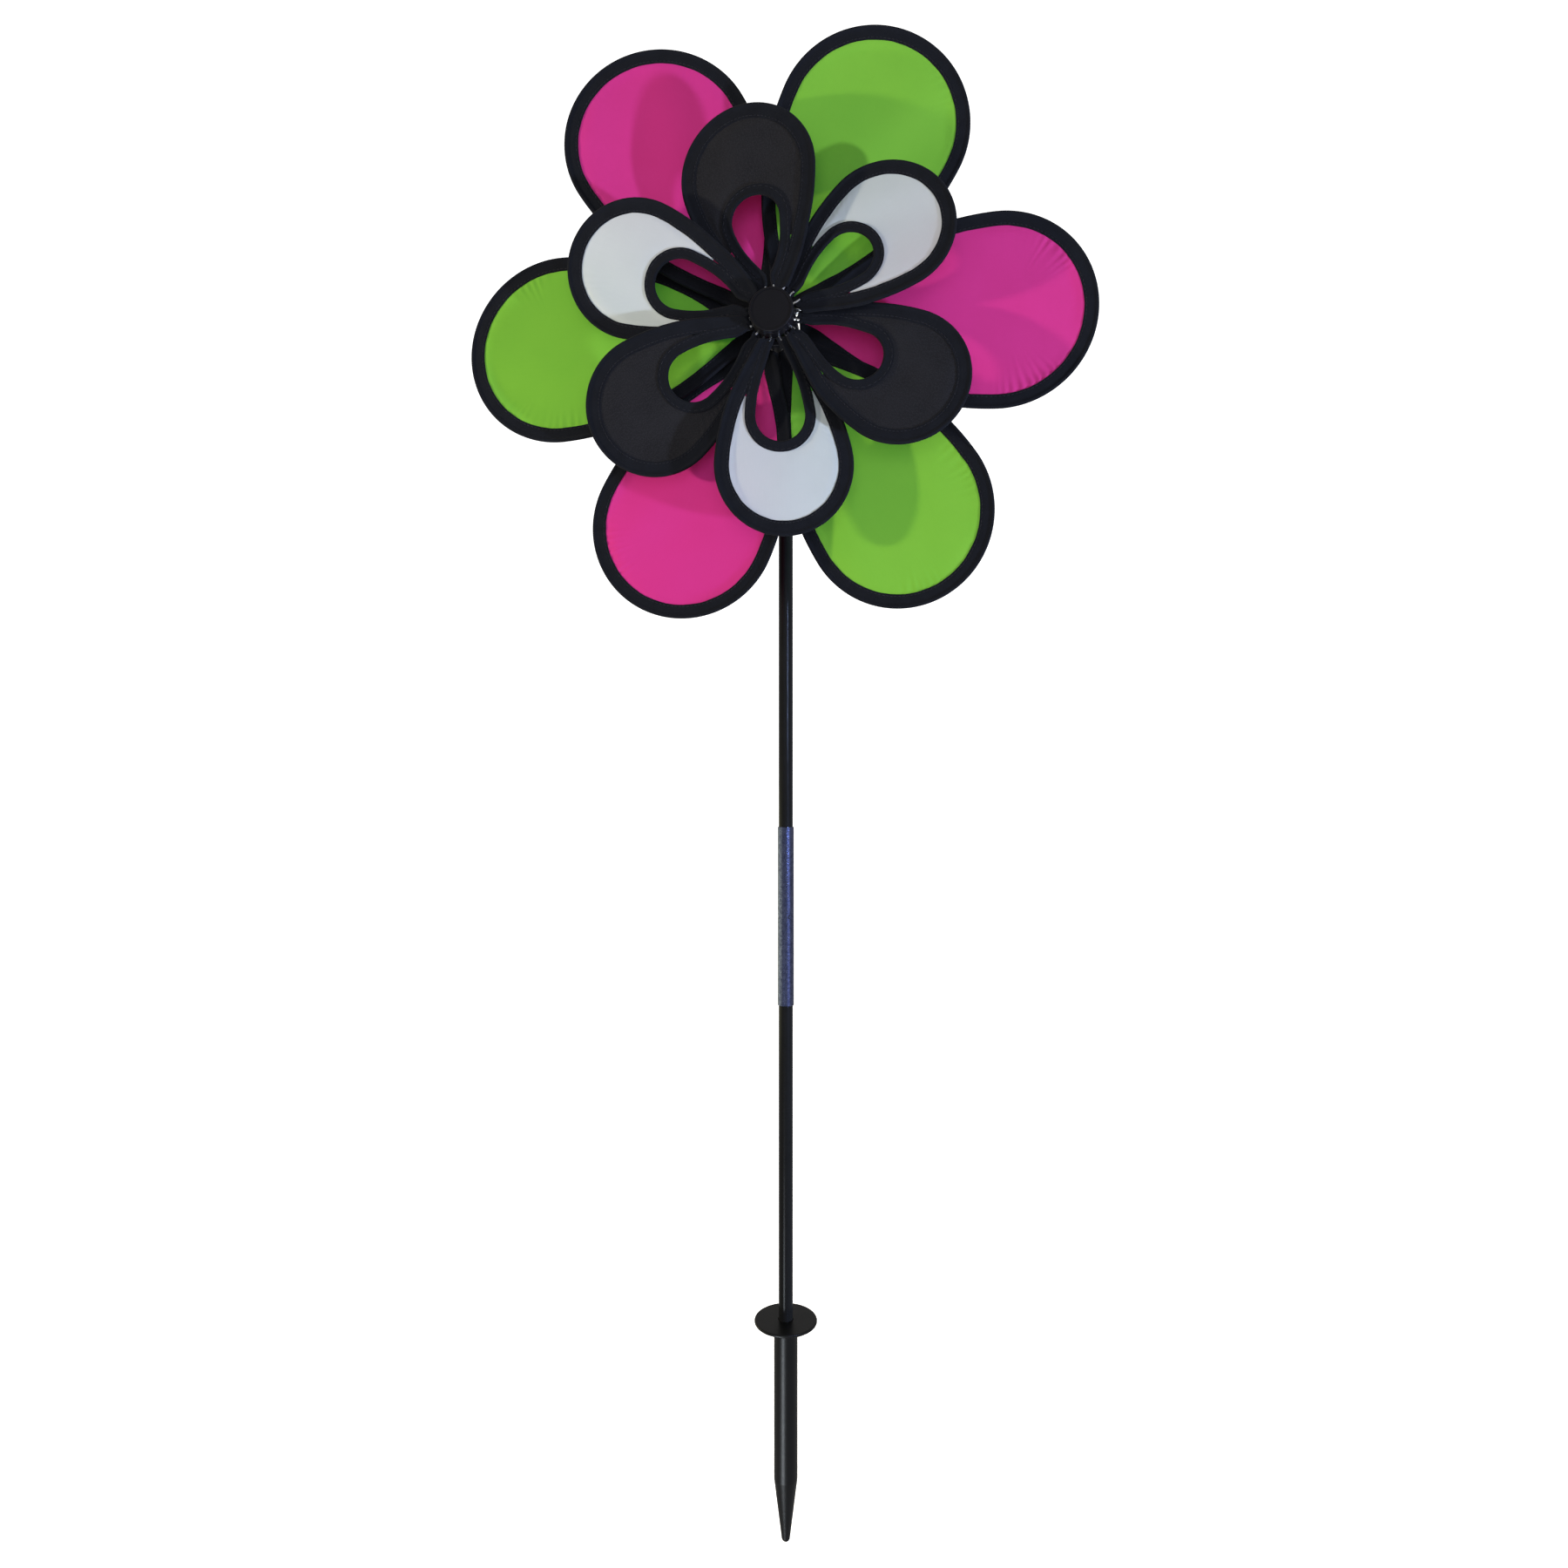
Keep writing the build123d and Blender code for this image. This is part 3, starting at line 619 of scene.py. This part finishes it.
def holed_panel(name, petal, path, width, hole, material, node, strength):
    """Panel of a small petal, from under its binding to under the binding of its cut-out."""
    centre = np.array([58.0, 0.0])  # inside the cut-out's round end
    spokes = path.points - centre
    lengths = np.linalg.norm(spokes, axis=1)
    spokes /= lengths[:, None]
    hole_edge = hole.points - hole.inward * CUTOUT_WIDTH - centre
    bearing = np.abs(np.arctan2(hole_edge[:, 1], hole_edge[:, 0]))
    order = np.argsort(bearing)
    at = np.abs(np.arctan2(spokes[:, 1], spokes[:, 0]))
    hole_r = np.interp(at, bearing[order], np.linalg.norm(hole_edge, axis=1)[order])
    slope = np.clip(-(spokes * path.inward).sum(1), 0.35, 1.0)
    outer_edge = width / slope
    first = TUCK / slope
    last = lengths - hole_r + 3.0
    room = lengths - hole_r - outer_edge
    kept = np.flatnonzero(room > 0.8)
    kept = slice(kept[0], kept[-1] + 1)
    shares = np.linspace(0, 1, 13)
    shares = shares - 0.12 * np.sin(2 * pi * shares)  # closer together at both seams
    visible = outer_edge[kept, None] + room[kept, None] * shares
    t = np.hstack([first[kept, None], visible, last[kept, None]])
    x = path.points[kept, :1] - spokes[kept, :1] * t
    y = path.points[kept, 1:] - spokes[kept, 1:] * t
    outer_depth = t - outer_edge[kept, None]
    inner_depth = outer_edge[kept, None] + room[kept, None] - t
    along = np.repeat(path.along[kept, None], t.shape[1], 1)
    inside = smooth(np.minimum(outer_depth, inner_depth), 0.0, 5.0)
    h = puckers(along, outer_depth, petal, strength) * smooth(inner_depth, 0.0, 3.0)
    h = h + 0.6 * puckers(along * 0.6, inner_depth, petal, strength) * smooth(outer_depth, 0.0, 3.0)
    h = h + 0.7 * slack(x, y, petal) * inside
    flat = np.stack([x, y, 0 * x], -1)
    piece = new_piece(name, place(petal, x, y, h), grid_faces(*t.shape), petal.body, material, flat)
    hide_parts(node)
    return piece, flat


def leg_room(path):
    """Width that a binding has on a leg before it reaches the petal's centre line."""
    room = np.abs(path.points[:, 1]) / np.maximum(np.abs(path.inward[:, 1]), 0.3)
    return np.where(path.radius < LEG_END, room, UNLIMITED)


def rear_width(path):
    """Width of a large petal's binding along its outline."""
    return np.maximum(np.minimum(REAR_WIDTH, leg_room(path)), LEAST_REAR_WIDTH)


# ---- Large flower ---------------------------------------------------------------------------------
def large_petal(number):
    """One petal of the rear flower: wire, binding, stitching and panel."""
    i = number - 1
    petal = Petal(
        f"rear_{number}", "rear_flower", hub_centre("rear_hub"), REAR_PHASE + i * 360 / PETALS,
        REAR_PITCH, REAR_LEAN[i], REAR_REACH[i], REAR_GIRTH[i], tip_of(REAR_SHAPE), 10 * number,
    )
    wire_path = outline(REAR_SHAPE, WIRE_STEP, WIRE_START)
    vertices, faces = wire_mesh(petal, wire_path, WIRE_R)
    wire = new_piece(f"rear_wire_{number}", vertices, faces, petal.body, WIRE)
    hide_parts(f"rear_hoop_{number}")
    start_r = fabric_start(petal)
    path = square_ends(outline(REAR_SHAPE, BINDING_STEP, start_r))
    width = rear_width(path)
    ribbon = binding(
        f"rear_binding_{number}", petal, path, width, 1, 0.0, f"rear_tape_{number}", flare=REAR_FLARE
    )
    seam = stitching(
        f"rear_stitching_{number}", petal, path, width - STITCH_INSET, 1, STITCH_LEVEL
    )
    fine = square_ends(outline(REAR_SHAPE, REAR_PANEL_STEP, start_r))
    material, slot = ((GREEN, "green_nylon"), (MAGENTA, "magenta_nylon"))[i % 2]
    panel, flat = full_panel(
        f"rear_fabric_{number}", petal, fine, rear_width(fine), material,
        f"rear_panel_{number}", REAR_PUCKER[i],
    )
    declare_cloth(flat)


# ---- Small flower ---------------------------------------------------------------------------------
def small_petal(number):
    """One petal of the front flower, with its cut-out. Returns the cut-out wire's mesh."""
    i = number - 1
    petal = Petal(
        f"front_{number}", "front_flower", hub_centre("front_hub"), FRONT_PHASE + i * 360 / PETALS,
        FRONT_PITCH, FRONT_LEAN[i], FRONT_REACH[i], FRONT_GIRTH[i], tip_of(FRONT_SHAPE),
        10 * number + 100,
    )
    wire_path = outline(FRONT_SHAPE, WIRE_STEP, WIRE_START)
    vertices, faces = wire_mesh(petal, wire_path, WIRE_R)
    wire = new_piece(f"front_wire_{number}", vertices, faces, petal.body, WIRE)
    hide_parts(f"front_hoop_{number}")
    start_r = FRONT_START[i]
    hole = square_ends(outline(CUTOUT_SHAPE, BINDING_STEP, start_r, CUTOUT_PINCH[i]))

    def outer_width(path):
        """Full width at the hub, then only as far as the cut-out's binding reaches, then full again."""
        to_middle = leg_room(path)
        band = hole.points - hole.inward * CUTOUT_WIDTH * 0.55
        half = band[: len(band) // 2]
        band_y = np.interp(path.points[:, 0], half[:, 0], half[:, 1])
        slope = np.maximum(np.abs(path.inward[:, 1]), 0.3)
        to_band = np.where(
            path.points[:, 0] < half[-1, 0], (np.abs(path.points[:, 1]) - band_y) / slope * 0.87, UNLIMITED
        )
        at_hub = 1 - smooth(path.radius, 21.0, 25.5)
        room = to_middle * at_hub + to_band * (1 - at_hub)
        return np.maximum(np.minimum(FRONT_WIDTH, room), LEAST_FRONT_WIDTH)

    path = square_ends(outline(FRONT_SHAPE, BINDING_STEP, start_r))
    width = outer_width(path)
    ribbon = binding(
        f"front_binding_{number}", petal, path, width, 1, 0.0, f"front_tape_{number}", flare=FRONT_FLARE
    )
    seam = stitching(
        f"front_stitching_{number}", petal, path, width - STITCH_INSET, 1, STITCH_LEVEL
    )
    hole_width = np.full(len(hole.along), CUTOUT_WIDTH)
    hole_ribbon = binding(
        f"cutout_binding_{number}", petal, hole, hole_width, -1, CUTOUT_LIFT,
        f"cutout_tape_{number}",
    )
    hole_seam = stitching(
        f"cutout_stitching_{number}", petal, hole, hole_width - STITCH_INSET, -1, CUTOUT_STITCH_LEVEL
    )
    fine = square_ends(outline(FRONT_SHAPE, FRONT_PANEL_STEP, start_r))
    material, slot = ((BLACK, "black_nylon"), (WHITE, "white_nylon"))[i % 2]
    panel, flat = holed_panel(
        f"front_fabric_{number}", petal, fine, outer_width(fine), hole, material,
        f"front_panel_{number}", FRONT_PUCKER[i],
    )
    declare_cloth(flat)
    hole_wire_path = outline(CUTOUT_SHAPE, WIRE_STEP, WIRE_START, CUTOUT_PINCH[i])
    return wire_mesh(petal, hole_wire_path, -WIRE_R)


for petal_number in range(1, PETALS + 1):
    large_petal(petal_number)

all_vertices, all_faces = [], []
for petal_number in range(1, PETALS + 1):
    wire_vertices, wire_faces = small_petal(petal_number)
    first_vertex = sum(len(group) for group in all_vertices)
    all_vertices.append(wire_vertices)
    all_faces += [[corner + first_vertex for corner in face] for face in wire_faces]
cutout_wires = new_piece("cutout_wires", np.vstack(all_vertices), all_faces, "front_flower", WIRE)
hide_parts("cutout_hoops")

# ---- Materials of the CAD nodes -------------------------------------------------------------------
NODE_MATERIALS = {
    "ground_stake": STAKE_PLASTIC,
    "lower_pole": COAT,
    "upper_pole": COAT,
    "pole_ferrule": PAINTED_REFLECTION_FERRULE,
    "head_fitting": HUB_PLASTIC,
    "rear_hub": HUB_PLASTIC,
    "front_hub": HUB_PLASTIC,
    "hub_cap": HUB_PLASTIC,
    "rear_bush": BUSH_NYLON,
    "front_bush": BUSH_NYLON,
    "axle_bolt": ZINC,
    "axle_spacer": ZINC,
    "rear_washer": ZINC,
    "middle_collar": ZINC,
    "front_washer": ZINC,
    "lock_nut": ZINC,
}
for node_name, node_material in NODE_MATERIALS.items():
    node_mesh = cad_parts[node_name].data
    node_mesh.materials.clear()
    node_mesh.materials.append(node_material)


# ---- Floor, light and camera ----------------------------------------------------------------------
def backdrop():
    """Round pale floor that curves up into a wall on every side."""
    nodes = Nodes("studio_paper")
    tone = nodes.noise(nodes.object_place(), 6.0)
    colour = nodes.colours(tone, (0.90, 0.90, 0.90), (0.93, 0.93, 0.93))
    glow = {"Emission_Color": (1, 1, 1, 1), "Emission_Strength": 0.85}
    material = nodes.finish(nodes.surface(colour, 0.9, None, Specular_IOR_Level=0.0, **glow))
    floor_z = cad_box[0][2] - 0.001
    middle_r, flat_r, bend_r, top = 0.0002, 2.4, 1.0, 4.5
    bends = np.linspace(0, pi / 2, 25)
    line = [(middle_r, floor_z)]
    line += [(flat_r + bend_r * sin(bend), floor_z + bend_r * (1 - cos(bend))) for bend in bends]
    line.append((flat_r + bend_r, floor_z + top))
    turns = np.linspace(0, 2 * pi, 72, endpoint=False)
    vertices = np.array([[(r * cos(turn), r * sin(turn), z) for turn in turns] for r, z in line])
    mesh = bpy.data.meshes.new("studio_paper")
    faces = grid_faces(len(line), len(turns), round_columns=True)
    mesh.from_pydata(vertices.reshape(-1, 3).tolist(), [], faces)
    mesh.polygons.foreach_set("use_smooth", [True] * len(mesh.polygons))
    mesh.materials.append(material)
    paper = bpy.data.objects.new("studio_paper", mesh)
    bpy.context.scene.collection.objects.link(paper)
    paper.visible_diffuse = False  # so that the black parts stay as dark as in a larger room
    paper.visible_glossy = False
    paper.visible_shadow = False


def area_light(
    name, azimuth, height, distance, size, power, colour, shines=True, lights=True, aim="front_hub"
):
    """Soft light aimed at a node. azimuth 0 is in front, and positive is to the right.

    shines is whether it shows in reflections, and lights whether it lights surfaces otherwise.
    """
    light = bpy.data.lights.new(name, "AREA")
    light.shape = "RECTANGLE"
    light.size, light.size_y = size
    light.energy = power
    light.color = colour
    lamp = bpy.data.objects.new(name, light)
    turn = radians(azimuth)
    lamp.location = (distance * sin(turn), -distance * cos(turn), height)
    target = Vector((0, 0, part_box(aim)[0].z))
    lamp.rotation_euler = (target - lamp.location).to_track_quat("-Z", "Y").to_euler()
    lamp.visible_glossy = shines
    lamp.visible_diffuse = lights
    lamp.visible_transmission = lights
    bpy.context.scene.collection.objects.link(lamp)


def studio():
    """World, lights and camera."""
    world = bpy.data.worlds.new("studio")
    world.use_nodes = True
    background = world.node_tree.nodes["Background"]
    background.inputs["Color"].default_value = (1.0, 0.985, 0.965, 1.0)
    background.inputs["Strength"].default_value = 0.33
    bpy.context.scene.world = world
    area_light("left_softbox", -69.0, 0.56, 1.0, (0.035, 0.05), 16.5, (1.0, 0.88, 0.62), shines=False)
    area_light("right_softbox", 69.0, 0.0, 1.4, (0.05, 0.08), 44.0, (0.78, 0.86, 1.0), shines=False)
    area_light("right_strip", 38.0, 0.66, 1.5, (0.05, 0.40), 11.5, (0.42, 0.55, 1.0), lights=False)
    area_light("front_fill", 4.0, 0.5, 2.2, (1.8, 1.8), 22.0, (1.0, 0.97, 0.95), shines=False)
    area_light("left_panel", -100.0, 0.09, 1.3, (2.8, 0.52), 5.2, (1.0, 0.98, 0.50), lights=False)
    area_light("blue_strip", 50.0, 0.10, 1.5, (0.90, 0.60), 1.6, (0.50, 0.58, 1.0), lights=False)
    area_light(
        "stake_glow", -20.0, -0.70, 1.0, (0.40, 0.6), 9.0, (0.85, 0.93, 1.0),
        lights=False, aim="ground_stake",
    )
    bpy.context.scene.view_settings.view_transform = "Standard"


CAMERA_DISTANCE = 0.6716  # from the pole's axis
CAMERA_AZIMUTH = 7.0  # degrees round to the right
CAMERA_BELOW_AXLE = 0.2836
CAMERA_SIDEWAYS = -0.0012
LENS = 23.0
SENSOR_WIDTH = 36.0


def camera():
    """Level camera below the flowers, a little round to their right."""
    data = bpy.data.cameras.new("camera")
    data.sensor_width = SENSOR_WIDTH
    data.lens = LENS
    eye = bpy.data.objects.new("camera", data)
    turn = radians(CAMERA_AZIMUTH)
    right = Vector((cos(turn), sin(turn), 0))
    back = Vector((sin(turn), -cos(turn), 0))
    height = hub_centre("rear_hub")[2] - CAMERA_BELOW_AXLE
    eye.location = back * CAMERA_DISTANCE + right * CAMERA_SIDEWAYS + Vector((0, 0, height))
    eye.rotation_euler = (pi / 2, 0, turn)
    bpy.context.scene.collection.objects.link(eye)
    bpy.context.scene.camera = eye


backdrop()
studio()
camera()
